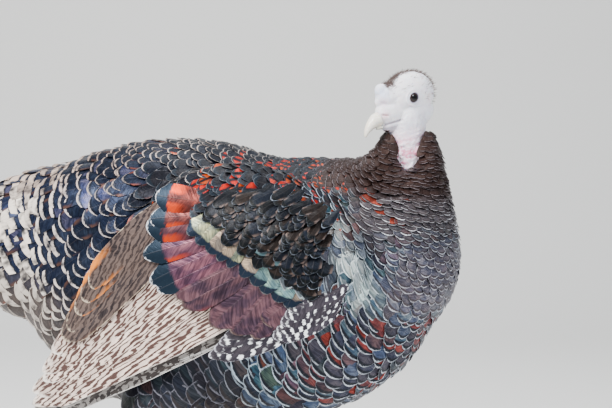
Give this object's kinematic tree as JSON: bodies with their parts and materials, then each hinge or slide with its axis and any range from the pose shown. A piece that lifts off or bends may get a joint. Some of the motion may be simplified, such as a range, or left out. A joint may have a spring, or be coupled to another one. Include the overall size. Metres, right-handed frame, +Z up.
{
  "type": "domestic turkey",
  "caption": "Life-size bronze turkey hen standing still on flat soles, wings folded, bare pale head turned back over its right wing.",
  "frame": {"origin": "on the floor under the middle of the bird's bounding box; the soles are on z = 0", "axes": "+X is the way the breast faces, +Y the bird's left side, +Z up; the head is turned back towards -Y"},
  "size_m": [0.6747, 0.265, 0.4913],
  "materials": {
    "plumage": "satin feathers with a metallic sheen",
    "flight_feathers": "satin feathers",
    "tail_feathers": "satin feathers, barred",
    "bare_skin": "matte wrinkled skin",
    "horn": "polished horn",
    "eye": "wet gloss",
    "leg_scales": "matte scales"
  },
  "bodies": {
    "root": {"torso": "plumage", "neck": "plumage", "thigh_left": "plumage", "thigh_right": "plumage", "wing_left": "flight_feathers", "wing_right": "flight_feathers", "tail": "tail_feathers", "head": "bare_skin", "throat": "bare_skin", "snood": "bare_skin", "beak_upper": "horn", "beak_lower": "horn", "eye_left": "eye", "eye_right": "eye", "shank_left": "leg_scales", "shank_right": "leg_scales", "foot_left": "leg_scales", "foot_right": "leg_scales", "claw_left_1": "horn", "claw_left_2": "horn", "claw_left_3": "horn", "claw_left_4": "horn", "claw_right_1": "horn", "claw_right_2": "horn", "claw_right_3": "horn", "claw_right_4": "horn"}
  },
  "joints": []
}
